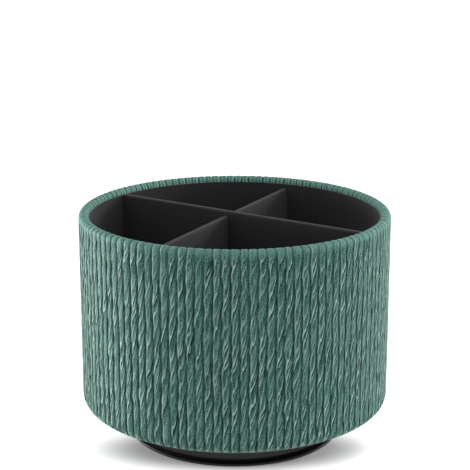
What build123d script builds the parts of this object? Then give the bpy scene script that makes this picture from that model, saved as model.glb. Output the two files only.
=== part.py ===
"""Rotating pen holder: a leather-wrapped drum with four compartments on a ball-bearing swivel base.

Millimetres, +Z up. The origin is the centre of the plane that the rubber feet stand on.
The main divider runs along X and the cross divider about along Y, a few degrees off square.
Everything below the drum is round about Z.
"""

import os
from math import cos, pi, sin

from build123d import *

# Drum
drum_radius = 92.0
drum_height = 117.2
rim_width = 5.74
bottom_round = 4.5
floor_thickness = 5.0

# Skins bonded to the drum's shell
leather = 1.2
glue = 0.05
turn_in = 8.0
turn_under = 16.0
lining = 0.9
lining_below_rim = 3.3
lining_edge_round = 0.3
inner_corner_round = 1.0

# Dividers: a board with a folded cover
board = 2.8
divider_cover = 0.35
divider_round = 1.2
main_offset = 4.6
main_below_rim = 3.0
cross_offset = -7.9
cross_turn = 5.35
cross_below_rim = 6.0
divider_end_gap = 0.1
slot_gap = 0.1

# Loose floor pads
pad_thickness = 1.5
pad_gap = 0.3

# Swivel base, stacked from the floor upwards
foot_stand_out = 0.8
foot_pocket = 1.0
foot_radius = 6.0
foot_gap = 0.1
foot_count = 6
foot_inset = 14.0
foot_round = 0.3
flange_radius = 63.6
flange_thickness = 1.6
flange_round = 0.5
housing_floor = 2.6
housing_wall = 2.0
swivel_groove = 2.6
wall_lap = 4.4
skirt_wall = 2.6
skirt_inset = 0.5
skirt_round = 0.8
skirt_gap = 1.9
race_seat_height = 5.2
rib_thickness = 1.6
rib_height = 2.6
plate_thickness = 3.6
bottom_cover_thickness = 0.9
bottom_cover_lap = 8.0

# Ball bearing
ball_radius = 2.38
ball_count = 24
running_gap = 0.05
race_width = 8.0
race_height = 2.2
race_lip_width = 1.0
race_lip_height = 1.0
race_gap = 0.1
race_wall_gap = 4.9
cage_thickness = 1.6
cage_gap = 0.5
cage_pocket_gap = 0.2
cage_width = 7.0

# Pivot through the middle of the base
pivot_radius = 3.0
pivot_head_radius = 6.0
pivot_head_height = 2.2
pivot_head_recess = 0.3
pivot_socket_flats = 4.0
pivot_socket_depth = 1.3
pivot_tip_gap = 0.2
washer_radius = 6.5
washer_thickness = 1.0
washer_play = 0.1
head_gap = 0.7
bush_wall = 1.25
bush_flange_radius = 7.0
bush_flange = 1.0
hub_play = 0.3
hub_wall = 3.3
nut_flats = 10.0
nut_height = 5.0
nut_floor = 1.3
nut_gap = 0.1
nut_cover = 3.4

# Screws that hold the turntable plate to the drum's floor
screw_count = 4
screw_pitch_radius = 28.0
screw_radius = 1.7
screw_head_radius = 3.5
screw_head_height = 2.0
screw_bite = 4.0
screw_gap = 0.05
screw_slot = 0.9

# Heights, worked out from the floor upwards
housing_bottom = foot_stand_out
flange_top = housing_bottom + flange_thickness
housing_floor_top = housing_bottom + housing_floor
lower_race_bottom = housing_floor_top + race_seat_height
lower_race_top = lower_race_bottom + race_height
cage_bottom = lower_race_top + cage_gap
ball_height = cage_bottom + cage_thickness / 2
upper_race_bottom = cage_bottom + cage_thickness + cage_gap
plate_bottom = upper_race_bottom + race_height
plate_top = plate_bottom + plate_thickness
drum_bottom = plate_top + bottom_cover_thickness
rim_top = drum_bottom + drum_height
drum_floor = drum_bottom + floor_thickness
skirt_bottom = flange_top + swivel_groove
housing_wall_top = skirt_bottom + wall_lap
turn_in_end = rim_top - turn_in
lining_top = rim_top - lining_below_rim
lining_bottom = drum_floor + inner_corner_round
main_top = rim_top - main_below_rim
cross_top = rim_top - cross_below_rim
slot_height = (drum_floor + cross_top) / 2

# Radii
rim_inner_radius = drum_radius - rim_width
shell_bore = rim_inner_radius + glue
lining_outer = rim_inner_radius - glue
lining_bore = lining_outer - lining
divider_end_radius = lining_bore - divider_end_gap
divider_width = board + 2 * (divider_cover + glue)
turn_under_end = drum_radius - bottom_round - turn_under
bottom_cover_radius = turn_under_end + bottom_cover_lap
skirt_radius = flange_radius - skirt_inset
skirt_bore = skirt_radius - skirt_wall
housing_wall_radius = skirt_bore - skirt_gap
foot_pitch_radius = flange_radius - foot_inset
race_lip_radius = housing_wall_radius - housing_wall - race_wall_gap
race_outer = race_lip_radius - race_lip_width - race_gap
race_inner = race_outer - race_width
ball_pitch_radius = (race_outer + race_inner) / 2
bush_radius = pivot_radius + running_gap + bush_wall
counterbore_radius = washer_radius + head_gap
hub_radius = counterbore_radius + hub_wall
nut_hub_radius = nut_flats / 2 + nut_gap + nut_cover

# Two ribs to each screw, with the screws midway between ribs
rib_count = 2 * screw_count
screw_start_angle = 180 / rib_count

# Heights along the pivot
head_bottom = housing_bottom + pivot_head_recess
washer_bottom = head_bottom + pivot_head_height
counterbore_top = washer_bottom + washer_thickness + washer_play
nut_bottom = plate_top - nut_height
nut_hub_bottom = nut_bottom - nut_floor
bush_top = nut_hub_bottom - hub_play
hub_top = bush_top - bush_flange

os.makedirs("parts", exist_ok=True)


def save(part, name):
    """Label one finished piece and write its STEP file."""
    part.label = name
    export_step(part, f"parts/{name}.step")


def arc_point(centre_x, centre_z, radius, degrees):
    """Point on a circle in the half-section, at an angle from the X direction."""
    angle = degrees * pi / 180
    return (centre_x + radius * cos(angle), centre_z + radius * sin(angle))


def skin_line(inset, inner_end):
    """Draw the drum's half-section, `inset` inside the leather's face, and return its two ends.

    It starts on the inner wall at height `inner_end`, goes over the round rim, down the side,
    round the bottom edge and in to where the leather's turned-under strip ends.
    """
    rim_x = drum_radius - rim_width / 2
    rim_z = rim_top - rim_width / 2
    rim_r = rim_width / 2 - inset
    edge_x = drum_radius - bottom_round
    edge_z = drum_bottom + bottom_round
    edge_r = bottom_round - inset
    start = (rim_x - rim_r, inner_end)
    end = (turn_under_end, drum_bottom + inset)
    Line(start, (rim_x - rim_r, rim_z))
    ThreePointArc((rim_x - rim_r, rim_z), (rim_x, rim_z + rim_r), (rim_x + rim_r, rim_z))
    Line((rim_x + rim_r, rim_z), (edge_x + edge_r, edge_z))
    edge_middle = arc_point(edge_x, edge_z, edge_r, -45)
    ThreePointArc((edge_x + edge_r, edge_z), edge_middle, (edge_x, edge_z - edge_r))
    Line((edge_x, edge_z - edge_r), end)
    return start, end


# Drum shell: a moulded cup, rebated at the rim and under the floor for the leather's turned edges
with BuildPart() as drum_shell:
    with BuildSketch(Plane.XZ):
        with BuildLine():
            start, end = skin_line(leather + glue, turn_in_end - glue)
            Polyline(
                end,
                (end[0] - glue, end[1]),
                (end[0] - glue, drum_bottom),
                (0, drum_bottom),
                (0, drum_floor),
                (shell_bore, drum_floor),
                (shell_bore, start[1]),
                start,
            )
        make_face()
    revolve(axis=Axis.Z)
    inner_floor = drum_shell.faces().filter_by(Plane.XY).sort_by(lambda f: abs(f.center().Z - drum_floor))[0]
    fillet(inner_floor.edges().filter_by(GeomType.CIRCLE), radius=inner_corner_round)
    with BuildSketch(Plane.XY.offset(drum_bottom)):
        with PolarLocations(screw_pitch_radius, screw_count, start_angle=screw_start_angle):
            Circle(screw_radius + screw_gap)
    extrude(amount=screw_bite + screw_gap, mode=Mode.SUBTRACT)
save(drum_shell.part, "drum_shell")

# Leather wrap: one skin from inside the rim, down the side, to the strip turned under the floor
with BuildPart() as leather_wrap:
    with BuildSketch(Plane.XZ):
        with BuildLine():
            face_start, face_end = skin_line(0, turn_in_end)
            back_start, back_end = skin_line(leather, turn_in_end)
            Line(face_start, back_start)
            Line(face_end, back_end)
        make_face()
    revolve(axis=Axis.Z)
save(leather_wrap.part, "leather_wrap")

# Wall lining: a sleeve of covered card that hides the leather's turned-in edge
with BuildPart() as wall_lining:
    with BuildSketch(Plane.XY.offset(lining_bottom)):
        Circle(lining_outer)
        Circle(lining_bore, mode=Mode.SUBTRACT)
    extrude(amount=lining_top - lining_bottom)
    top_face = wall_lining.faces().sort_by(Axis.Z)[-1]
    fillet(top_face.edges(), radius=lining_edge_round)
save(wall_lining.part, "wall_lining")


def divider_blank(section_plane, offset, width, top, top_round):
    """Return a board on edge with a rounded top, cut to the lining's bore."""
    with BuildPart() as blank:
        with BuildSketch(section_plane):
            with Locations((offset, drum_floor)):
                section = Rectangle(width, top - drum_floor, align=(Align.CENTER, Align.MIN))
            fillet(section.vertices().group_by(Axis.Y)[-1], radius=top_round)
        extrude(amount=drum_radius, both=True)
        with BuildSketch(Plane.XY.offset(drum_floor)):
            Circle(divider_end_radius)
        extrude(amount=top - drum_floor, mode=Mode.INTERSECT)
    return blank.part


def divider_room(section_plane, offset, gap, bottom, top):
    """Return a long block as wide as a divider with `gap` to spare on each side."""
    with BuildPart() as room:
        with BuildSketch(section_plane):
            with Locations((offset, bottom)):
                Rectangle(divider_width + 2 * gap, top - bottom, align=(Align.CENTER, Align.MIN))
        extrude(amount=drum_radius, both=True)
    return room.part


def divider_pair(section_plane, offset, top, slot):
    """Return a divider's board and its folded cover, both cut by the half-lap slot."""
    hollow_width = board + 2 * glue
    hollow_top = top - divider_cover
    hollow_round = divider_round - divider_cover
    whole = divider_blank(section_plane, offset, divider_width, top, divider_round)
    hollow = divider_blank(section_plane, offset, hollow_width, hollow_top, hollow_round)
    core = divider_blank(section_plane, offset, board, hollow_top - glue, hollow_round - glue)
    return core - slot, whole - hollow - slot


# Dividers: the main one has its slot below and sits down over the cross divider's slot
main_section = Plane.YZ
cross_section = Plane.XZ.rotated((0, 0, cross_turn))
main_slot = divider_room(cross_section, cross_offset, slot_gap, drum_floor, slot_height + slot_gap)
cross_slot = divider_room(main_section, main_offset, slot_gap, slot_height - slot_gap, main_top)
main_board, main_cover = divider_pair(main_section, main_offset, main_top, main_slot)
cross_board, cross_cover = divider_pair(cross_section, cross_offset, cross_top, cross_slot)
save(main_board, "main_divider_board")
save(main_cover, "main_divider_cover")
save(cross_board, "cross_divider_board")
save(cross_cover, "cross_divider_cover")

# Floor pads: one covered card laid in each compartment, clear of the lining and the dividers
pad_top = drum_floor + pad_thickness
main_room = divider_room(main_section, main_offset, pad_gap, drum_floor, pad_top)
cross_room = divider_room(cross_section, cross_offset, pad_gap, drum_floor, pad_top)
with BuildPart() as floor_pads:
    with BuildSketch(Plane.XY.offset(drum_floor)):
        Circle(lining_bore - pad_gap)
    extrude(amount=pad_thickness)
    add(main_room, mode=Mode.SUBTRACT)
    add(cross_room, mode=Mode.SUBTRACT)
by_depth = floor_pads.solids().sort_by(Axis.Y)
front_left, front_right = by_depth[:2].sort_by(Axis.X)
back_left, back_right = by_depth[2:].sort_by(Axis.X)
save(front_right, "floor_pad_front_right")
save(front_left, "floor_pad_front_left")
save(back_left, "floor_pad_back_left")
save(back_right, "floor_pad_back_right")

# Bottom cover: a disc under the drum that hides the leather's turned-under edge
with BuildPart() as bottom_cover:
    with BuildSketch(Plane.XY.offset(plate_top)):
        Circle(bottom_cover_radius)
        with PolarLocations(screw_pitch_radius, screw_count, start_angle=screw_start_angle):
            Circle(screw_radius + screw_gap, mode=Mode.SUBTRACT)
    extrude(amount=bottom_cover_thickness)
save(bottom_cover.part, "bottom_cover")


def race_lips(seat_height):
    """Return the section of the two low rings that locate a race on its seat."""
    with BuildSketch(Plane.XY.offset(seat_height)) as lips:
        Circle(race_lip_radius)
        Circle(race_outer + race_gap, mode=Mode.SUBTRACT)
        Circle(race_inner - race_gap)
        Circle(race_inner - race_gap - race_lip_width, mode=Mode.SUBTRACT)
    return lips.sketch


# Turntable plate: the upper, turning half of the base, with its skirt, ribs and nut hub
with BuildPart() as turntable_plate:
    with BuildSketch(Plane.XY.offset(plate_bottom)):
        Circle(skirt_radius)
    extrude(amount=plate_thickness)
    with BuildSketch(Plane.XY.offset(skirt_bottom)):
        Circle(skirt_radius)
        Circle(skirt_bore, mode=Mode.SUBTRACT)
    extrude(amount=plate_bottom - skirt_bottom)
    skirt_rim = turntable_plate.faces().sort_by(Axis.Z)[0]
    fillet(skirt_rim.edges().sort_by(SortBy.RADIUS)[-1], radius=skirt_round)
    extrude(race_lips(plate_bottom), amount=-race_lip_height)
    with BuildSketch(Plane.XY.offset(plate_bottom)):
        with PolarLocations(race_inner / 2, rib_count):
            Rectangle(race_inner - race_gap - race_lip_width / 2, rib_thickness)
    extrude(amount=-rib_height)
    with BuildSketch(Plane.XY.offset(nut_hub_bottom)):
        Circle(nut_hub_radius)
    extrude(amount=plate_top - nut_hub_bottom)
    with BuildSketch(Plane.XY.offset(nut_bottom)):
        RegularPolygon(nut_flats / 2 + nut_gap, 6, major_radius=False)
    extrude(amount=nut_height, mode=Mode.SUBTRACT)
    with BuildSketch(Plane.XY.offset(nut_hub_bottom)):
        Circle(pivot_radius + running_gap)
    extrude(amount=nut_floor, mode=Mode.SUBTRACT)
    with BuildSketch(Plane.XY.offset(plate_bottom)):
        with PolarLocations(screw_pitch_radius, screw_count, start_angle=screw_start_angle):
            Circle(screw_radius + screw_gap)
    extrude(amount=plate_thickness, mode=Mode.SUBTRACT)
save(turntable_plate.part, "turntable_plate")

# Plate screws: pan heads under the plate, shanks up into the drum's floor
with BuildPart() as plate_screws:
    with BuildSketch(Plane.XY.offset(plate_bottom - screw_head_height)):
        with PolarLocations(screw_pitch_radius, screw_count, start_angle=screw_start_angle):
            Circle(screw_head_radius)
    extrude(amount=screw_head_height)
    head_rims = plate_screws.edges().group_by(Axis.Z)[0]
    fillet(head_rims, radius=screw_head_height / 2)
    with BuildSketch(Plane.XY.offset(plate_bottom - screw_head_height)):
        with PolarLocations(screw_pitch_radius, screw_count, start_angle=screw_start_angle):
            Rectangle(screw_head_radius, screw_slot)
            Rectangle(screw_slot, screw_head_radius)
    extrude(amount=screw_head_height / 2, mode=Mode.SUBTRACT)
    with BuildSketch(Plane.XY.offset(plate_bottom)):
        with PolarLocations(screw_pitch_radius, screw_count, start_angle=screw_start_angle):
            Circle(screw_radius)
    extrude(amount=drum_bottom + screw_bite - plate_bottom)
save(plate_screws.part, "plate_screws")


def race(bottom, name):
    """Save one grooved steel ring of the ball bearing, standing on `bottom`."""
    with BuildPart() as ring:
        with BuildSketch(Plane.XZ):
            with Locations((ball_pitch_radius, bottom)):
                Rectangle(race_width, race_height, align=(Align.CENTER, Align.MIN))
            with Locations((ball_pitch_radius, ball_height)):
                Circle(ball_radius + running_gap, mode=Mode.SUBTRACT)
        revolve(axis=Axis.Z)
    save(ring.part, name)


# Ball bearing: two races, a cage and its balls
race(lower_race_bottom, "lower_race")
race(upper_race_bottom, "upper_race")

with BuildPart() as ball_cage:
    with BuildSketch(Plane.XY.offset(cage_bottom)):
        Circle(ball_pitch_radius + cage_width / 2)
        Circle(ball_pitch_radius - cage_width / 2, mode=Mode.SUBTRACT)
        with PolarLocations(ball_pitch_radius, ball_count):
            Circle(ball_radius + cage_pocket_gap, mode=Mode.SUBTRACT)
    extrude(amount=cage_thickness)
save(ball_cage.part, "ball_cage")

with BuildPart(Plane.XY.offset(ball_height)) as bearing_balls:
    with PolarLocations(ball_pitch_radius, ball_count):
        Sphere(ball_radius)
save(bearing_balls.part, "bearing_balls")

# Base housing: the lower, standing half of the base, a flanged dish with a hub and a race seat
with BuildPart() as base_housing:
    with BuildSketch(Plane.XY.offset(housing_bottom)):
        Circle(flange_radius)
    extrude(amount=flange_thickness)
    fillet(base_housing.edges().filter_by(GeomType.CIRCLE), radius=flange_round)
    with BuildSketch(Plane.XY.offset(flange_top)):
        Circle(housing_wall_radius)
    extrude(amount=housing_floor_top - flange_top)
    with BuildSketch(Plane.XY.offset(housing_floor_top)):
        Circle(housing_wall_radius)
        Circle(housing_wall_radius - housing_wall, mode=Mode.SUBTRACT)
    extrude(amount=housing_wall_top - housing_floor_top)
    with BuildSketch(Plane.XY.offset(housing_floor_top)):
        Circle(race_lip_radius)
        Circle(race_inner - race_gap - race_lip_width, mode=Mode.SUBTRACT)
    extrude(amount=race_seat_height)
    extrude(race_lips(lower_race_bottom), amount=race_lip_height)
    with BuildSketch(Plane.XY.offset(housing_floor_top)):
        with PolarLocations(race_inner / 2, rib_count):
            Rectangle(race_inner - race_gap - race_lip_width / 2, rib_thickness)
    extrude(amount=rib_height)
    with BuildSketch(Plane.XY.offset(housing_bottom)):
        Circle(hub_radius)
    extrude(amount=hub_top - housing_bottom)
    with BuildSketch(Plane.XY.offset(housing_bottom)):
        Circle(counterbore_radius)
    extrude(amount=counterbore_top - housing_bottom, mode=Mode.SUBTRACT)
    with BuildSketch(Plane.XY.offset(counterbore_top)):
        Circle(bush_radius + glue)
    extrude(amount=hub_top - counterbore_top, mode=Mode.SUBTRACT)
    with BuildSketch(Plane.XY.offset(housing_bottom)):
        with PolarLocations(foot_pitch_radius, foot_count):
            Circle(foot_radius + foot_gap)
    extrude(amount=foot_pocket, mode=Mode.SUBTRACT)
save(base_housing.part, "base_housing")

# Pivot bush: a flanged plastic sleeve pressed into the housing's hub
with BuildPart() as pivot_bush:
    with BuildSketch(Plane.XY.offset(counterbore_top)):
        Circle(bush_radius)
    extrude(amount=hub_top - counterbore_top)
    with BuildSketch(Plane.XY.offset(hub_top)):
        Circle(bush_flange_radius)
    extrude(amount=bush_flange)
    with BuildSketch(Plane.XY.offset(counterbore_top)):
        Circle(pivot_radius + running_gap)
    extrude(amount=bush_top - counterbore_top, mode=Mode.SUBTRACT)
save(pivot_bush.part, "pivot_bush")

# Pivot screw: a low socket head in the counterbore and a shank up to the lock nut
with BuildPart() as pivot_screw:
    with BuildSketch(Plane.XY.offset(head_bottom)):
        Circle(pivot_head_radius)
    extrude(amount=pivot_head_height)
    with BuildSketch(Plane.XY.offset(head_bottom)):
        RegularPolygon(pivot_socket_flats / 2, 6, major_radius=False)
    extrude(amount=pivot_socket_depth, mode=Mode.SUBTRACT)
    with BuildSketch(Plane.XY.offset(washer_bottom)):
        Circle(pivot_radius)
    extrude(amount=plate_top - pivot_tip_gap - washer_bottom)
save(pivot_screw.part, "pivot_screw")

with BuildPart() as thrust_washer:
    with BuildSketch(Plane.XY.offset(washer_bottom)):
        Circle(washer_radius)
        Circle(pivot_radius + running_gap, mode=Mode.SUBTRACT)
    extrude(amount=washer_thickness)
save(thrust_washer.part, "thrust_washer")

with BuildPart() as lock_nut:
    with BuildSketch(Plane.XY.offset(nut_bottom)):
        RegularPolygon(nut_flats / 2, 6, major_radius=False)
        Circle(pivot_radius + running_gap, mode=Mode.SUBTRACT)
    extrude(amount=nut_height)
save(lock_nut.part, "lock_nut")

# Rubber feet: round pads glued in the housing's pockets
for number in range(foot_count):
    with BuildPart() as foot_pad:
        with BuildSketch(Plane.XY):
            with PolarLocations(foot_pitch_radius, 1, start_angle=360 / foot_count * number):
                Circle(foot_radius)
        extrude(amount=housing_bottom + foot_pocket)
        fillet(foot_pad.edges().group_by(Axis.Z)[0], radius=foot_round)
    save(foot_pad.part, f"foot_pad_{number + 1}")
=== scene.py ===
"""Rotating pen holder: a drum wrapped in crinkled green leather, on a low black swivel base."""
from math import cos, pi, radians, sin

import bpy
import numpy as np
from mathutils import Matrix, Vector


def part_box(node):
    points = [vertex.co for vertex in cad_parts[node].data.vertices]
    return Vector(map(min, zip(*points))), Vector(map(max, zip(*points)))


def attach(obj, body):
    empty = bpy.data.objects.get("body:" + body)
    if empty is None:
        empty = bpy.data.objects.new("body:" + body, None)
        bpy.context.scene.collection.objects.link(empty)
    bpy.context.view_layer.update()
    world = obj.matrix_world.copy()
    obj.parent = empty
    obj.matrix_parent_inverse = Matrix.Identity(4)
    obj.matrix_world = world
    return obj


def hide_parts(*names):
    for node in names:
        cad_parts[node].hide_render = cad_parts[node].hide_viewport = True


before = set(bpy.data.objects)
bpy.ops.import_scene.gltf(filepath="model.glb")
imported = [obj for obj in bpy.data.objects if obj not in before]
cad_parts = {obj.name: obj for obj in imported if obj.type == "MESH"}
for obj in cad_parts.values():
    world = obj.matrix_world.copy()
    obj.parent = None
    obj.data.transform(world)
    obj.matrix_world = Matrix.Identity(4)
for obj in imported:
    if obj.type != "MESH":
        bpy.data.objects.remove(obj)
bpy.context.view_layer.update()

# Studio: a pale table, a low wide lamp on the left and a small one on the right, both a little behind
# the drum, a weak one high on the right, and the camera. The table is only a stage: it keeps the
# holder's shadow, darkened by a painted shadow patch round the holder, and is white to the camera.
scene = bpy.context.scene
scene.view_settings.view_transform = "Standard"

CAMERA_AZIMUTH = radians(32.95)
CAMERA_ELEVATION = radians(15.09)
CAMERA_DISTANCE = 0.820
CAMERA_LENS = 105.6
SENSOR_WIDTH = 36.0
CAMERA_SHIFT = (0.0006, -0.0035)
LOOK_AT = Vector((0.0, 0.0, 0.1223))


def seen_from(azimuth, elevation):
    """Unit vector from the holder to a viewer at these angles; azimuth 0 looks along +Y."""
    return Vector((sin(azimuth) * cos(elevation), -cos(azimuth) * cos(elevation), sin(elevation)))


camera_data = bpy.data.cameras.new("camera")
camera_data.lens = CAMERA_LENS
camera_data.sensor_width = SENSOR_WIDTH
camera_data.shift_x, camera_data.shift_y = CAMERA_SHIFT
camera = bpy.data.objects.new("camera", camera_data)
towards_camera = seen_from(CAMERA_AZIMUTH, CAMERA_ELEVATION)
camera.location = LOOK_AT + CAMERA_DISTANCE * towards_camera
camera.rotation_euler = towards_camera.to_track_quat("Z", "Y").to_euler()
scene.collection.objects.link(camera)
scene.camera = camera


def soft_light(name, side, elevation, distance, width, height, power):
    """Rectangular lamp that faces the drum, `side` degrees round to the right of the camera."""
    lamp = bpy.data.lights.new(name, "AREA")
    lamp.shape = "RECTANGLE"
    lamp.size = width
    lamp.size_y = height
    lamp.energy = power
    towards = seen_from(CAMERA_AZIMUTH + radians(side), radians(elevation))
    light = bpy.data.objects.new(name, lamp)
    light.location = LOOK_AT + distance * towards
    light.rotation_euler = towards.to_track_quat("Z", "Y").to_euler()
    scene.collection.objects.link(light)


soft_light("light_left", side=-108, elevation=-1, distance=1.0, width=0.6, height=0.22, power=9.3)
soft_light("light_right", side=106, elevation=14, distance=1.0, width=0.26, height=0.22, power=3.8)
soft_light("light_top", side=60, elevation=66, distance=1.2, width=0.7, height=0.7, power=3.0)


class Wire:
    """A value inside a material or the world. Arithmetic on it adds the Math nodes that work it out."""

    # 1/e, the height at which a bell stands at its half-width
    BELL_BASE = 0.3679

    def __init__(self, recipe, socket):
        self.recipe = recipe
        self.socket = socket

    def math(self, operation, *others):
        """One Math node on this value and the others."""
        values = dict(enumerate((self, *others)))
        return self.recipe.node("Math", {"operation": operation}, values)

    def __add__(self, other):
        return self.math("ADD", other)

    def __sub__(self, other):
        return self.math("SUBTRACT", other)

    def __rsub__(self, other):
        return self.recipe.node("Math", {"operation": "SUBTRACT"}, {0: other, 1: self})

    def __mul__(self, other):
        return self.math("MULTIPLY", other)

    def __truediv__(self, other):
        return self.math("DIVIDE", other)

    __radd__ = __add__
    __rmul__ = __mul__

    def root(self):
        """Square root."""
        return self.math("SQRT")

    def at_most(self, top):
        """This value or `top`, whichever is less."""
        return self.math("MINIMUM", top)

    def rise(self, start, end, low=0.0, high=1.0):
        """`low` below `start`, `high` above `end`, smooth between; `high` may be the lower one."""
        settings = {"interpolation_type": "SMOOTHSTEP"}
        values = {"From Min": start, "From Max": end, "To Min": low, "To Max": high}
        return self.recipe.node("MapRange", settings, {"Value": self, **values})

    def bell(self, centre, width):
        """1 at `centre`, falling off on both sides as a bell curve of this half-width."""
        distance = (self - centre) / width
        values = {0: self.BELL_BASE, 1: distance * distance}
        return self.recipe.node("Math", {"operation": "POWER"}, values)


class Recipe:
    """The nodes of one material or of the world. Every node in it comes from node()."""

    def __init__(self, owner):
        self.owner = owner
        owner.use_nodes = True
        self.tree = owner.node_tree
        self.tree.nodes.clear()

    def node(self, kind, settings, sockets, out=0):
        """Add one node: settings first, then the values or links of its sockets; return its output."""
        made = self.tree.nodes.new("ShaderNode" + kind)
        for key, value in settings.items():
            setattr(made, key, value)
        for key, value in sockets.items():
            if isinstance(value, Wire):
                self.tree.links.new(value.socket, made.inputs[key])
            else:
                made.inputs[key].default_value = value
        return Wire(self, made.outputs[out]) if len(made.outputs) else made

    def part(self, vector, axis):
        """One coordinate of a vector."""
        return self.node("SeparateXYZ", {}, {0: vector}, out="XYZ".index(axis))

    def map(self, name):
        """The two values of one of the piece's UV maps."""
        return self.node("UVMap", {"uv_map": name}, {})

    def place(self):
        """Place on the piece in metres."""
        return self.node("TexCoord", {}, {}, out="Object")

    def stretched(self, vector, scale):
        """A place or map with each axis scaled by its own number."""
        return self.node("VectorMath", {"operation": "MULTIPLY"}, {0: vector, 1: scale})

    def noise(self, where, scale, detail=2.0):
        """Soft noise from 0 to 1, `scale` lumps to a metre."""
        return self.node("TexNoise", {}, {"Vector": where, "Scale": scale, "Detail": detail})

    def mix(self, factor, one, other):
        """Blend two colours (sockets 6 and 7, output 2); either may be a plain (r, g, b)."""
        colours = [c if isinstance(c, Wire) else (*c, 1.0) for c in (one, other)]
        return self.node("Mix", {"data_type": "RGBA"}, {0: factor, 6: colours[0], 7: colours[1]}, out=2)

    def bump(self, height, distance):
        """Normal from a height whose step from 0 to 1 is `distance` metres."""
        return self.node("Bump", {}, {"Distance": distance, "Height": height})

    def seen(self):
        """1 for the camera and for what shines or is seen through, 0 for light."""
        seen = self.node("LightPath", {}, {}, out="Is Camera Ray")
        for ray in ("Is Glossy Ray", "Is Transmission Ray"):
            seen = seen.math("MAXIMUM", self.node("LightPath", {}, {}, out=ray))
        return seen

    def surface(self, shader):
        """End the material or world in this shader and return it."""
        kind = "OutputWorld" if isinstance(self.owner, bpy.types.World) else "OutputMaterial"
        self.node(kind, {}, {"Surface": shader})
        return self.owner

    def finish(self, sockets):
        """End the material in one principled surface and return it."""
        return self.surface(self.node("BsdfPrincipled", {}, sockets))


# The painted shadow on the table: a patch round the holder where the camera's white glow is held low,
# so that it shows dark over the real shadow that the matte keeps. Its patch in front of the holder's
# axis is moved towards the camera and flattened to a share of its width; between the two turns it
# becomes the round part behind. It fades out between its start and end, and its darkest part keeps a
# share of the table's glow.
SHADOW_AHEAD = 0.0365
SHADOW_FLATNESS = 0.39
SHADOW_ROUND = 1.1
SHADOW_TURNS = (-0.018, 0.005)
SHADOW_START = 0.051
SHADOW_END = 0.103
SHADOW_GLOW = 0.14
TABLE_GREY = 0.80
TABLE_REACH = 6.0
WHITE = (1.0, 1.0, 1.0, 1.0)


def table_finish():
    """Matte sheet with a painted shadow round the holder; further out the camera sees it white.

    The shadow's edge lies at equal `out`: in front, out = length(x, (y + ahead) / flatness), and
    behind, out = round * length(x, y).
    """
    recipe = Recipe(bpy.data.materials.new("table"))
    place = recipe.place()
    across, away = recipe.part(place, "X"), recipe.part(place, "Y")
    patch = (away + SHADOW_AHEAD) / SHADOW_FLATNESS
    ahead = (across * across + patch * patch).root()
    behind = (across * across + away * away).root() * SHADOW_ROUND
    out = ahead + (behind - ahead) * away.rise(*SHADOW_TURNS)
    # Painted shadow: the glow is held low inside this patch round the holder
    lift = out.rise(SHADOW_START, SHADOW_END, SHADOW_GLOW, 1.0)
    matte = recipe.node("BsdfDiffuse", {}, {"Color": (TABLE_GREY, TABLE_GREY, TABLE_GREY, 1.0)})
    glow = recipe.node("Emission", {}, {"Color": WHITE, "Strength": recipe.seen() * lift})
    return recipe.surface(recipe.node("AddShader", {}, {0: matte, 1: glow}))


table_mesh = bpy.data.meshes.new("table")
corners = [(-TABLE_REACH, -TABLE_REACH, 0), (TABLE_REACH, -TABLE_REACH, 0),
           (TABLE_REACH, TABLE_REACH, 0), (-TABLE_REACH, TABLE_REACH, 0)]
table_mesh.from_pydata(corners, [], [(0, 1, 2, 3)])
table_mesh.materials.append(table_finish())
table = bpy.data.objects.new("table", table_mesh)
table.rotation_euler.z = CAMERA_AZIMUTH
scene.collection.objects.link(table)

WORLD_LIGHT = 0.42


def studio_air():
    """Weak even light from all round, white to the camera and in what shines."""
    recipe = Recipe(bpy.data.worlds.new("studio"))
    strength = WORLD_LIGHT + recipe.seen() * (1.0 - WORLD_LIGHT)
    return recipe.surface(recipe.node("Background", {}, {"Color": WHITE, "Strength": strength}))


scene.world = studio_air()


# Leather wrap: one skin of imitation leather glued round the drum's shell, turned in over the rim and
# under the floor. It is embossed like laid cords: upright ribs with dark grooves between them, each
# crossed by creases that run down its right side, lean across it and end down its left side.
wrap_low, wrap_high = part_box("leather_wrap")
DRUM_RADIUS = wrap_high[0]
RIM_TOP = wrap_high[2]
DRUM_BOTTOM = wrap_low[2]
RIM_WIDTH = 0.00574
RIM_ROUND = RIM_WIDTH / 2
BOTTOM_ROUND = 0.0060
TURN_IN = 0.008
TURN_UNDER = 0.016
SKIN = 0.0012

# The section of the plain skin: the ends of its stretches, in metres along it, from the strip's end
# under the floor, round the bottom edge, up the side and over the rim to its end inside the drum
edge_arc = pi / 2 * BOTTOM_ROUND
side_height = RIM_TOP - DRUM_BOTTOM - RIM_ROUND - BOTTOM_ROUND
rim_arc = pi * RIM_ROUND
STRETCH_ENDS = np.cumsum([0.0, TURN_UNDER, edge_arc, side_height, rim_arc, TURN_IN - RIM_ROUND])
SKIN_LENGTH = STRETCH_ENDS[-1]
RIM_START = STRETCH_ENDS[3]


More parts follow.
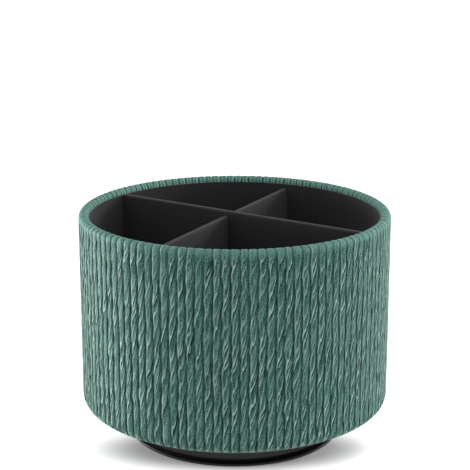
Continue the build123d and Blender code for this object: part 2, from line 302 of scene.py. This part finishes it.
def skin_point(along, depth):
    """Radius and height of a point of the skin, `along` metres up its section and `depth` inside it.

    The section is a line of centres with a bending radius and an outward angle, all three worked
    out by straight lines between the ends of its stretches: point = centre + (bend - depth) *
    (cos angle, sin angle).
    """
    edge_x, rim_x = DRUM_RADIUS - BOTTOM_ROUND, DRUM_RADIUS - RIM_ROUND
    edge_z, rim_z = DRUM_BOTTOM + BOTTOM_ROUND, RIM_TOP - RIM_ROUND
    centres_x = [edge_x - TURN_UNDER, edge_x, edge_x, rim_x, rim_x, rim_x]
    centres_z = [edge_z, edge_z, edge_z, rim_z, rim_z, RIM_TOP - TURN_IN]
    bend = np.interp(along, STRETCH_ENDS, [BOTTOM_ROUND] * 3 + [RIM_ROUND] * 3)
    angle = np.interp(along, STRETCH_ENDS, [-pi / 2, -pi / 2, 0, 0, pi, pi])
    radius = np.interp(along, STRETCH_ENDS, centres_x) + (bend - depth) * np.cos(angle)
    height = np.interp(along, STRETCH_ENDS, centres_z) + (bend - depth) * np.sin(angle)
    return radius, height


# The creases cover the upright side and the bottom edge from a share of its arc up, between side start
# and rim start. They are laid out on lay heights: metres along the section, but stretched near the rim,
# so that they crowd together there. Level rows carry the skin on under the floor and over the rim.
EDGE_SHARE = 0.35
SIDE_START = TURN_UNDER + EDGE_SHARE * edge_arc
RIM_APPROACH = 0.008
RIM_CROWDING = 1.2
LAY_PLACES = np.array([SIDE_START, RIM_START - RIM_APPROACH, RIM_START])
LAY_HEIGHTS = np.concatenate([[0.0], np.cumsum(np.diff(LAY_PLACES) * np.array([1.0, RIM_CROWDING]))])
LAY_LENGTH = LAY_HEIGHTS[-1]
LAY_SOFT = 0.003
LOW_ROWS = np.array([0.0, 0.004, 0.010, *(TURN_UNDER + edge_arc * np.array([0.0, 0.12, 0.24]))])
HIGH_ROWS = np.array([*(RIM_START + rim_arc * np.arange(1, 9) / 8), SKIN_LENGTH - 0.003, SKIN_LENGTH])


def place_of_lay(lay):
    """Metres along the section for a lay height; heights past either end pile up softly inside it.

    Nearer to an end than `soft`, a distance d from it becomes soft * exp(d / soft - 1).
    """
    def kept_inside(distance):
        pressed = LAY_SOFT * np.exp(np.minimum(distance / LAY_SOFT - 1, 0))
        return np.where(distance < LAY_SOFT, pressed, distance)

    left = kept_inside(LAY_LENGTH - kept_inside(lay))
    return np.interp(LAY_LENGTH - left, LAY_HEIGHTS, LAY_PLACES)


# Places across a rib, as shares of its width: the groove, its shoulders and three on the crown, and
# the share of its climb that a fully bent crease has made at each of them and at the next groove
ACROSS = np.array([0.0, 0.13, 0.32, 0.50, 0.68, 0.87])
CREASE_SHARES = np.array([0.0, 0.10, 0.41, 0.50, 0.59, 0.90, 1.0])
# Creases on a rib: the count of bands between them, their climb from its left groove to its right one,
# the ranges of the step from one to the next, before they are scaled to fill the side, the share of
# them that follow close on the last, and the least that they stand apart
RIB_COUNT = 117
BAND_COUNT = 18
CREASE_CLIMB = 0.019
WIDE_STEP = (0.0050, 0.0150)
CLOSE_STEP = (0.0030, 0.0050)
CLOSE_SHARE = 0.22
LEAST_STEP = 0.0018
# How creases differ: the first one's place in steps, the climb's change in shares of the room to its
# neighbours, the bend, the small wave, and the strength, faintest + (1 - faintest) * chance ^ power
FIRST_PLACE = (0.4, 1.6)
CLIMB_CHANGE = (-0.60, 0.40)
BEND = (0.20, 1.00)
WAVE = (-0.0005, 0.0005)
FAINTEST = 0.12
STRENGTH_POWER = 1.3
CREASE_SEED = 7


def crease_heights(across):
    """Lay height of each crease on each rib at each place across it, sorted upwards, and its strength.

    A crease stands at start + climb * (s + b (share - s)) plus a small wave, where s is the place
    across the rib: b = 0 is a straight line and b = 1 the full bend of the shares.
    """
    random = np.random.default_rng(CREASE_SEED)
    lines = (BAND_COUNT + 1, RIB_COUNT)
    wide = random.uniform(*WIDE_STEP, lines)
    close = random.uniform(*CLOSE_STEP, lines)
    steps = np.where(random.random(lines) < CLOSE_SHARE, close, wide)
    steps *= (LAY_LENGTH + CREASE_CLIMB) / steps.sum(axis=0)
    start = np.cumsum(steps, axis=0) - steps[0] * random.uniform(*FIRST_PLACE, RIB_COUNT) - CREASE_CLIMB
    room = np.minimum(steps, np.roll(steps, -1, axis=0))
    climb = CREASE_CLIMB + room * random.uniform(*CLIMB_CHANGE, lines)
    bend = random.uniform(*BEND, lines)
    wave = random.uniform(*WAVE, (*lines, len(across)))
    bent = across + bend[:, :, None] * (CREASE_SHARES - across)
    heights = start[:, :, None] + climb[:, :, None] * bent + wave * np.sin(pi * across)
    rise = np.maximum(np.diff(heights, axis=0), LEAST_STEP)
    heights = np.concatenate([heights[:1], heights[:1] + np.cumsum(rise, axis=0)])
    strength = FAINTEST + (1 - FAINTEST) * random.random(lines) ** STRENGTH_POWER
    return heights, strength


# Grooves between the ribs, how far they stray sideways and the lengths of the waves that they stray in
RIB_PITCH = 2 * pi * DRUM_RADIUS / RIB_COUNT
GROOVE_DEPTH = 0.00056
GROOVE_HALF_WIDTH = 0.00042
GROOVE_STRAY = 0.00052
STRAY_WAVES = (0.083, 0.037, 0.019, 0.011)
GROOVE_SEED = 11


def groove_stray(along, shift):
    """How far a groove strays sideways on its way up, in metres: half of GROOVE_STRAY times a sum of
    slow sine waves, each with a chance phase for each groove.

    `shift` 0 gives each rib's left groove and 1 its right one.
    """
    random = np.random.default_rng(GROOVE_SEED)
    stray = 0.0
    for length in STRAY_WAVES:
        phase = np.roll(random.random(RIB_COUNT), -shift)[None, :, None]
        stray = stray + np.sin(2 * pi * (along / length + phase))
    return GROOVE_STRAY / 2 * stray


# Relief: how far the ribs stand proud of the CAD's plain skin, how far their plain face lies below
# that, the crown's rise above the shoulders, and the split along the crown where grooves are shallow
PROUD = 0.00030
PLAIN_DEPTH = 0.00010
CROWN_RISE = 0.00014
SPLIT_DEPTH = 0.00006
SPLIT_HALF_WIDTH = 0.12
DEEPEST = 0.7 * SKIN
# From one crease up to the next: distances square to the crease of the ridge above it, of the ridge's
# foot and of the upper valley's side, the most of the band that each may take, and the depths of the
# band's six rows, from the valley up. From the fifth row on they belong to the crease above.
RIDGE_AT = 0.00038
FOOT_AT = 0.00095
VALLEY_SIDE = 0.00032
RIDGE_MOST, FOOT_MOST, VALLEY_MOST = 0.20, 0.42, 0.14
BAND_DEPTHS = np.array([0.00040, 0.00000, 0.00003, 0.00008, 0.00014, 0.00026])
FIRST_OF_NEXT = 4
# Where the relief fades, as places along the section and the shares left there: creases at both ends
# of the side, grooves at the bottom edge and a little at the rim, all of it at the strip's own ends
CREASE_FADE = ([SIDE_START, SIDE_START + 0.002, RIM_START - 0.003, RIM_START], [0.10, 1, 1, 0.10])
GROOVE_FADE = ([SIDE_START - 0.001, SIDE_START + 0.007, RIM_START - 0.008, RIM_START - 0.001],
               [0.10, 1, 1, 0.80])
PROUD_FADE = ([SIDE_START - 0.006, SIDE_START + 0.003], [0, 1])
END_FADE = ([0, 0.004, SKIN_LENGTH - 0.003, SKIN_LENGTH], [0, 1, 1, 0])
# The skin's back, as shares of its length from the end inside the rim down to the end under the floor
BACK_ROWS = np.array([1.0, 0.97, 0.935, 0.90, 0.155, 0.13, 0.10, 0.0])
# On the level rows the crease map gives this distance, out of every crease's reach
AWAY_FROM_CREASE = 0.0015
LAY_NUDGE = 0.001


def creased_rows(across):
    """Rows of the drum's side, which follow the creases: six to a band from one crease to the next.

    Returns their places along the section, their depths below the plain face, the strength of their
    creases, and the crease map at the lower and at the upper row of each band of quads.
    """
    heights, strength = crease_heights(across)
    slope = CREASE_CLIMB / RIB_PITCH * np.gradient(CREASE_SHARES, across)
    lean = np.sqrt(1 + slope ** 2)
    gap = np.diff(heights, axis=0)
    ridge = np.minimum(RIDGE_AT * lean, RIDGE_MOST * gap)
    foot = np.minimum(FOOT_AT * lean, FOOT_MOST * gap)
    side = gap - np.minimum(VALLEY_SIDE * lean, VALLEY_MOST * gap)
    steps = [0 * gap, ridge, foot, foot + (side - foot) / 3, foot + (side - foot) * 2 / 3, side]
    lay = np.stack([heights[:-1] + step for step in steps], axis=1).reshape(-1, RIB_COUNT, len(across))
    lay = np.concatenate([lay, heights[-1:]])
    along = place_of_lay(lay)
    along[0], along[-1] = SIDE_START, RIM_START

    # A groove belongs to two ribs, and its rows lie midway between theirs
    shared = (along[:, :, 0] + np.roll(along[:, :, -1], 1, axis=1)) / 2
    along[:, :, 0] = shared
    along[:, :, -1] = np.roll(shared, -1, axis=1)

    # Depth of the rows, which fades out beside the grooves
    row_in_band = np.arange(len(lay)) % len(BAND_DEPTHS)
    crease_of_row = np.arange(len(lay)) // len(BAND_DEPTHS) + (row_in_band >= FIRST_OF_NEXT)
    strength = strength[crease_of_row][:, :, None] * np.interp(along, *CREASE_FADE)
    off_groove = np.clip(2 * np.sin(pi * across), 0, 1)
    depth = (BAND_DEPTHS[row_in_band] - PLAIN_DEPTH)[:, None, None] * strength * off_groove

    # Crease map: metres square to the crease below and to the crease above
    squeeze = (place_of_lay(lay + LAY_NUDGE) - place_of_lay(lay - LAY_NUDGE)) / (2 * LAY_NUDGE)
    turn = np.sqrt(1 + (slope * squeeze) ** 2)
    creases = place_of_lay(heights)
    bands = len(lay) - 1
    band = np.arange(bands) // len(BAND_DEPTHS)
    crease_map = []
    for row in (slice(0, bands), slice(1, bands + 1)):
        from_below, from_above = along[row] - creases[band], creases[band + 1] - along[row]
        crease_map.append(np.stack([from_below / turn[row], from_above / turn[row]], axis=-1))
    return along, depth, strength, crease_map


def closed_ring(name, points):
    """Mesh of a grid of points whose last row joins the first and whose last column joins the first."""
    rows, wide = points.shape[:2]
    row, column = np.arange(rows)[:, None] * wide, np.arange(wide)[None, :]
    above, right = np.roll(row, -1), np.roll(column, -1)
    quads = np.stack([row + column, row + right, above + right, above + column], axis=-1)
    mesh = bpy.data.meshes.new(name)
    mesh.from_pydata(points.reshape(-1, 3).tolist(), [], quads.reshape(-1, 4).tolist())
    return mesh


def leather_wrap():
    """Ribbed skin of the drum: rows along its section, face and back, and columns round it.

    A point lies `depth` inside the plain skin: the depth of the creased rows, plus a dome's fall
    towards the grooves, plus a narrow bell at each groove, less what the ribs stand proud.
    """
    across = np.append(ACROSS, 1.0)
    side_along, side_depth, side_strength, crease_map = creased_rows(across)

    def among_level(values, below, above):
        """Values of the creased rows, with the level rows' own ones below and above them."""
        level = [np.broadcast_to(some, (count, *values.shape[1:]))
                 for some, count in ((below, len(LOW_ROWS)), (above, len(HIGH_ROWS)))]
        return np.concatenate([level[0], values, level[1]])

    along = among_level(side_along, LOW_ROWS[:, None, None], HIGH_ROWS[:, None, None])
    crease_depth = among_level(side_depth, 0.0, 0.0)
    from_groove = RIB_PITCH * np.minimum(across, 1 - across)
    deep = np.interp(along, *GROOVE_FADE)
    groove = deep * GROOVE_DEPTH * np.exp(-(from_groove / GROOVE_HALF_WIDTH) ** 2)
    dome = deep * CROWN_RISE * (2 * across - 1) ** 2
    split = (1 - deep) * SPLIT_DEPTH * np.exp(-((across - 0.5) / SPLIT_HALF_WIDTH) ** 2)
    proud = PROUD * np.interp(along, *PROUD_FADE)
    relief = PLAIN_DEPTH - proud + crease_depth + groove + dome + split
    depth = np.clip(relief * np.interp(along, *END_FADE), -proud, DEEPEST)

    # Columns round the drum, each rib held between its two straying grooves; the plain back's are even
    stray = groove_stray(along, 0) * (1 - across) + groove_stray(along, 1) * across
    around = RIB_PITCH * (np.arange(RIB_COUNT)[None, :, None] + across) + stray
    face = (along[:, :, :-1], depth[:, :, :-1], around[:, :, :-1] / DRUM_RADIUS)
    back_angle = (2 * pi / RIB_COUNT * (np.arange(RIB_COUNT)[:, None] + ACROSS)).reshape(1, -1)
    back = np.broadcast_arrays((BACK_ROWS * SKIN_LENGTH)[:, None], SKIN, back_angle)
    rows = len(along)
    place, inset, angle = [np.concatenate([f.reshape(rows, -1), b]) for f, b in zip(face, back)]
    radius, height = skin_point(place, inset)
    points = np.stack([radius * np.cos(angle), radius * np.sin(angle), height], axis=-1)
    mesh = closed_ring("leather_wrap", points)

    def add_map(name, lower, upper):
        """UV map of the face from the values at each band of quads' lower and upper rows, rib by rib."""
        values = np.zeros((len(points), RIB_COUNT, len(ACROSS), 4, 2), np.float32)
        values[:rows - 1, :, :, 0] = lower[:, :, :-1]
        values[:rows - 1, :, :, 1] = lower[:, :, 1:]
        values[:rows - 1, :, :, 2] = upper[:, :, 1:]
        values[:rows - 1, :, :, 3] = upper[:, :, :-1]
        mesh.uv_layers.new(name=name).data.foreach_set("uv", values.reshape(-1))

    # Maps: metres to the creases; share across the rib and strength; metres round the drum and along
    add_map("crease", *[among_level(some, AWAY_FROM_CREASE, AWAY_FROM_CREASE) for some in crease_map])
    strength = among_level(side_strength, 0.0, 0.0)
    rib_map = np.stack(np.broadcast_arrays(across, strength), axis=-1)
    add_map("rib", rib_map[:-1], rib_map[1:])
    skin_map = np.stack([around, along], axis=-1)
    add_map("skin", skin_map[:-1], skin_map[1:])

    mesh.shade_smooth()
    piece = bpy.data.objects.new("leather_wrap_skin", mesh)
    scene.collection.objects.link(piece)
    return piece


# Colours, from the painted shade in grooves and valleys through the body up to the painted highlight on
# the ridges
CREVICE_SHADE = (0.000, 0.034, 0.024)
DARK_BODY = (0.014, 0.089, 0.067)
LIGHT_BODY = (0.164, 0.366, 0.308)
CREST_HIGHLIGHT = (0.610, 0.900, 0.815)
# Zones along the section, each coming in between two places: near the rim, over its top, inside it,
# and up from the bottom edge
NEAR_RIM = (RIM_START - 0.004, RIM_START + 0.002)
OVER_RIM = (RIM_START - 0.008, RIM_START + 0.001)
INSIDE_RIM = (RIM_START + 0.0052, RIM_START + 0.0068)
OFF_EDGE = (SIDE_START - 0.003, SIDE_START + 0.004)
# Marks, as centre and half-width: from a crease in metres, or across a rib in shares of its width
# Ridge, left, right and crown marks are painted light; valley and split marks are painted shade
RIDGE_MARK = (RIDGE_AT + 0.00004, 0.00044)
VALLEY_FROM_BELOW = (-0.00006, 0.00036)
VALLEY_FROM_ABOVE = (0.0, 0.00040)
CREASE_REACH = (0.0, 0.0010)
LEFT_MARK = (0.21, 0.06)
SPLIT_MARK = (0.56, 0.07)
RIGHT_MARK = (0.74, 0.06)
CROWN_MARK = (0.45, 0.32)
# How marks change, as the start and end of the change and the weights there: painted highlight of ridges
# with the patches and across a rib, painted shade of valleys across it and of grooves from their middle
# out and with the slow noise, and the painted highlight on the left shoulder with the slow noise
RIDGE_IN_PATCHES = (0.30, 0.46, 0.50, 1.34)
RIDGE_ACROSS = (0.60, 0.85, 1.0, 0.25)
VALLEY_ACROSS = (0.12, 0.45, 0.35, 1.0)
GROOVE_ACROSS = (0.0, 0.25, 1.0, 0.0)
GROOVE_IN_SLOW_NOISE = (0.36, 0.58, 0.30, 0.72)
LEFT_IN_SLOW_NOISE = (0.40, 0.60, 0.0, 0.60)
# Weights of marks: painted shade of valleys and of grooves where a crease runs into them, what the
# grooves' shade loses over the rim's top, gains inside it and loses at the bottom edge, and the painted
# highlight of the left pale line near the rim and of the right one
VALLEY_WEIGHT = 1.40
GROOVE_AT_CREASE = 0.50
GROOVE_OVER_RIM = 0.20
GROOVE_INSIDE_RIM = 0.30
GROOVE_AT_EDGE = 0.25
LEFT_NEAR_RIM = 0.08
RIGHT_WEIGHT = 0.45
# Tone of the body, 0 for the dark colour and 1 for the light one: as it starts, what it gains near the
# rim, the painted shade that it loses with the distance above a crease as far as its reach, the painted
# light that it gains on the crown, and how much the noises swing it
TONE_START = 0.51
TONE_NEAR_RIM = 0.22
TONE_OFF_CREASE = 0.34
SHADE_REACH = 0.0030
TONE_ON_CROWN = 0.14
PATCH_TONE, STREAK_TONE, GRAIN_TONE = 0.5, 1.5, 2.8
# How much of the colour the painted shade marks cover, and how high or deep each mark and noise is in
# the bump
VALLEY_COVER, GROOVE_COVER, SPLIT_COVER = 0.98, 0.92, 0.30
BRIGHT_RISE, STREAK_RISE, GRAIN_RISE = 0.8, 0.3, 0.9
VALLEY_FALL, GROOVE_FALL, SPLIT_FALL = 0.8, 0.7, 0.4
LEATHER_BUMP = 0.00022
# Wobble of the creases in metres, and of the marks across a rib in shares of its width
CREASE_WOBBLE = 0.0005
RIB_WOBBLE = 0.10
LEFT_WOBBLE = 0.15
# Patches and streaks are noises drawn out along the ribs
PATCH_STRETCH = (1.0, 0.45, 1.0)
STREAK_STRETCH = (1.0, 0.12, 1.0)


def leather_finish():
    """Sea-green imitation leather: painted shade in grooves and valleys, painted highlights on ridges,
    fine pebbled grain.

    A mark is a bell at its place, times the crease's strength or a noise. The body's tone goes from
    dark to light, then the painted highlights and the painted shade are laid over it; the same marks,
    the streaks and the grain make the bump's height. A noise less 0.5 swings about 0.
    """
    recipe = Recipe(bpy.data.materials.new("green_leather"))
    crease, rib, skin = recipe.map("crease"), recipe.map("rib"), recipe.map("skin")
    above, below = recipe.part(crease, "X"), recipe.part(crease, "Y")
    across, strength = recipe.part(rib, "X"), recipe.part(rib, "Y")
    along = recipe.part(skin, "Y")
    short, long = recipe.stretched(skin, PATCH_STRETCH), recipe.stretched(skin, STREAK_STRETCH)
    wobble = recipe.noise(skin, scale=420.0) - 0.5
    patch = recipe.noise(short, scale=260.0)
    grain = recipe.noise(skin, scale=1300.0)
    streak = recipe.noise(long, scale=1000.0)
    slow_noise = recipe.noise(long, scale=190.0)
    rim, over, inner = along.rise(*NEAR_RIM), along.rise(*OVER_RIM), along.rise(*INSIDE_RIM)
    edge = along.rise(*OFF_EDGE, 1.0, 0.0)

    # Creases: a painted highlight on the ridge above a painted shade in the valley; ridges fade on a
    # rib's right side, valleys on its left
    from_crease = above + wobble * CREASE_WOBBLE
    ridge = from_crease.bell(*RIDGE_MARK) * strength * patch.rise(*RIDGE_IN_PATCHES)
    ridge = ridge * across.rise(*RIDGE_ACROSS)
    valley = from_crease.bell(*VALLEY_FROM_BELOW) + below.bell(*VALLEY_FROM_ABOVE)
    valley = valley * strength * VALLEY_WEIGHT * across.rise(*VALLEY_ACROSS)

    # Grooves: painted shade, deeper where the slow noise is high, where a crease runs into them and
    # inside the rim, lighter on the rim's top and at the bottom edge
    from_groove = across.at_most(1 - across) + wobble * RIB_WOBBLE
    beside = (above.bell(*CREASE_REACH) + below.bell(*CREASE_REACH)).at_most(1.0)
    groove = from_groove.rise(*GROOVE_ACROSS)
    groove = groove * (slow_noise.rise(*GROOVE_IN_SLOW_NOISE) + beside * strength * GROOVE_AT_CREASE)
    groove = groove * (1 - over * GROOVE_OVER_RIM + inner * GROOVE_INSIDE_RIM)
    groove = groove * (1 - edge * GROOVE_AT_EDGE)

    # Painted highlight down a rib's left shoulder, and inside the rim a painted shade along the split
    # with a painted highlight beside it
    left_highlight = (across + wobble * LEFT_WOBBLE).bell(*LEFT_MARK)
    left_highlight = left_highlight * (slow_noise.rise(*LEFT_IN_SLOW_NOISE) + rim * LEFT_NEAR_RIM)
    wobbly = across + wobble * RIB_WOBBLE
    split, right_highlight = wobbly.bell(*SPLIT_MARK) * inner, wobbly.bell(*RIGHT_MARK) * inner

    # Tone of the body: lighter near the rim; painted shade that deepens with the distance above a
    # crease, and painted light on the crown
    shade = (above / SHADE_REACH).at_most(1.0)
    crown = across.bell(*CROWN_MARK)
    tone = TONE_START + rim * TONE_NEAR_RIM - shade * TONE_OFF_CREASE * (1 - rim) + crown * TONE_ON_CROWN
    tone = tone + (patch - 0.5) * PATCH_TONE + (streak - 0.5) * STREAK_TONE + (grain - 0.5) * GRAIN_TONE

    bright = (ridge + left_highlight + right_highlight * RIGHT_WEIGHT).at_most(1.0)
    colour = recipe.mix(tone.rise(0.0, 1.0), DARK_BODY, LIGHT_BODY)
    # Painted highlight over ridges and shoulders, then painted shade in valleys, grooves and the split
    colour = recipe.mix(bright, colour, CREST_HIGHLIGHT)
    colour = recipe.mix((valley * VALLEY_COVER).at_most(1.0), colour, CREVICE_SHADE)
    colour = recipe.mix((groove * GROOVE_COVER + split * SPLIT_COVER).at_most(1.0), colour, CREVICE_SHADE)
    height = bright * BRIGHT_RISE - valley * VALLEY_FALL - groove * GROOVE_FALL - split * SPLIT_FALL
    height = height + streak * STREAK_RISE + grain * GRAIN_RISE
    return recipe.finish({
        "Base Color": colour,
        "Roughness": 0.50 + grain * 0.16,
        "Specular IOR Level": 0.20,
        "Normal": recipe.bump(height, LEATHER_BUMP),
    })


wrap = leather_wrap()
wrap.data.materials.append(leather_finish())
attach(wrap, "drum")
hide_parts("leather_wrap")


# Drum shell: a cup moulded in dark plastic, rebated at the rim and under the floor for the leather's
# turned edges. Leather, lining and bottom cover hide it but for slits round the floor pads.
def dress(material, *nodes):
    """Give CAD nodes their finish."""
    for name in nodes:
        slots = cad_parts[name].data.materials
        if len(slots) == 0:
            slots.append(material)
        for index in range(len(slots)):
            slots[index] = material


def darker(colour, share):
    """The colour at this share of its brightness."""
    return tuple(share * c for c in colour)


def plastic_finish(name, colour, roughness, shine=0.5, grain=0.00003):
    """Moulded plastic: a faint cloudiness in its colour and a fine spark-eroded texture."""
    recipe = Recipe(bpy.data.materials.new(name))
    speck = recipe.noise(recipe.place(), scale=2600.0)
    cloud = recipe.noise(recipe.place(), scale=60.0, detail=3.0)
    return recipe.finish({
        "Base Color": recipe.mix(cloud, darker(colour, 0.85), colour),
        "Roughness": roughness + speck * 0.08,
        "Specular IOR Level": shine,
        "Normal": recipe.bump(speck, grain),
    })


dress(plastic_finish("shell_plastic", (0.04, 0.04, 0.04), roughness=0.5), "drum_shell")


# Wall lining, divider covers and floor pads: thin card covered in black cloth, glued to the shell's
# wall, folded over the divider boards and laid loose on the floor.
def cloth_finish(name, colour, sheen):
    """Black covering cloth: flecked colour, a fine woven face and a short nap."""
    recipe = Recipe(bpy.data.materials.new(name))
    fleck = recipe.noise(recipe.place(), scale=900.0)
    weave = recipe.noise(recipe.place(), scale=3200.0, detail=1.0)
    return recipe.finish({
        "Base Color": recipe.mix(fleck, darker(colour, 0.7), colour),
        "Roughness": 0.75 + weave * 0.2,
        "Sheen Weight": sheen,
        "Sheen Roughness": 0.5,
        "Normal": recipe.bump(weave * 0.6 + fleck * 0.4, distance=0.00008),
    })


lining_cloth = cloth_finish("black_lining", (0.0240, 0.0228, 0.0228), sheen=0.06)
dress(lining_cloth, "wall_lining", "main_divider_cover", "cross_divider_cover", "floor_pad_front_right",
      "floor_pad_front_left", "floor_pad_back_left", "floor_pad_back_right")


# Divider boards: brown fibreboard, half-lapped where they cross, hidden in their covers.
# Their sawn ends stand a hair off the wall lining.
fibreboard = plastic_finish("fibreboard", (0.30, 0.20, 0.12), roughness=0.8)
dress(fibreboard, "main_divider_board", "cross_divider_board")


# Bottom cover: a disc of black card glued under the drum over the leather's turned-under edge.
# It is clamped between the drum and the turntable plate.
dress(plastic_finish("black_card", (0.02, 0.02, 0.02), roughness=0.85), "bottom_cover")


# Swivel base: the turning plate above and the standing housing below, both moulded in black plastic
# with a satin face; the groove between them is the joint.
black_plastic = plastic_finish("black_plastic", (0.014, 0.0120, 0.0120), roughness=0.40, shine=0.30)
dress(black_plastic, "turntable_plate", "base_housing")


# Fasteners: plated steel screws, washer and lock nut. They hold the plate to the drum and the two
# halves of the base together.
def metal_finish(name, colour, roughness):
    """Steel with fine turning marks, drawn out round the axis."""
    recipe = Recipe(bpy.data.materials.new(name))
    mark = recipe.noise(recipe.stretched(recipe.place(), scale=(1.0, 1.0, 30.0)), scale=900.0)
    return recipe.finish({
        "Base Color": recipe.mix(mark, darker(colour, 0.85), colour),
        "Metallic": 1.0,
        "Roughness": roughness + mark * 0.1,
        "Normal": recipe.bump(mark, distance=0.00001),
    })


zinc_steel = metal_finish("zinc_steel", (0.55, 0.55, 0.57), roughness=0.35)
dress(zinc_steel, "plate_screws", "pivot_screw", "thrust_washer", "lock_nut")


# Ball bearing: two hardened steel races with ground tracks, bright balls between them, and a white
# acetal cage that keeps the balls apart. The pivot's bush is acetal too.
bearing_steel = metal_finish("bearing_steel", (0.62, 0.62, 0.64), roughness=0.2)
dress(bearing_steel, "upper_race", "lower_race", "bearing_balls")
dress(plastic_finish("acetal", (0.75, 0.74, 0.70), roughness=0.4), "ball_cage", "pivot_bush")


# Feet: six round pads of black rubber glued into pockets under the housing.
# They carry the whole holder and keep it from sliding.
rubber = plastic_finish("rubber", (0.03, 0.03, 0.03), roughness=0.75)
dress(rubber, *[f"foot_pad_{number}" for number in range(1, 7)])
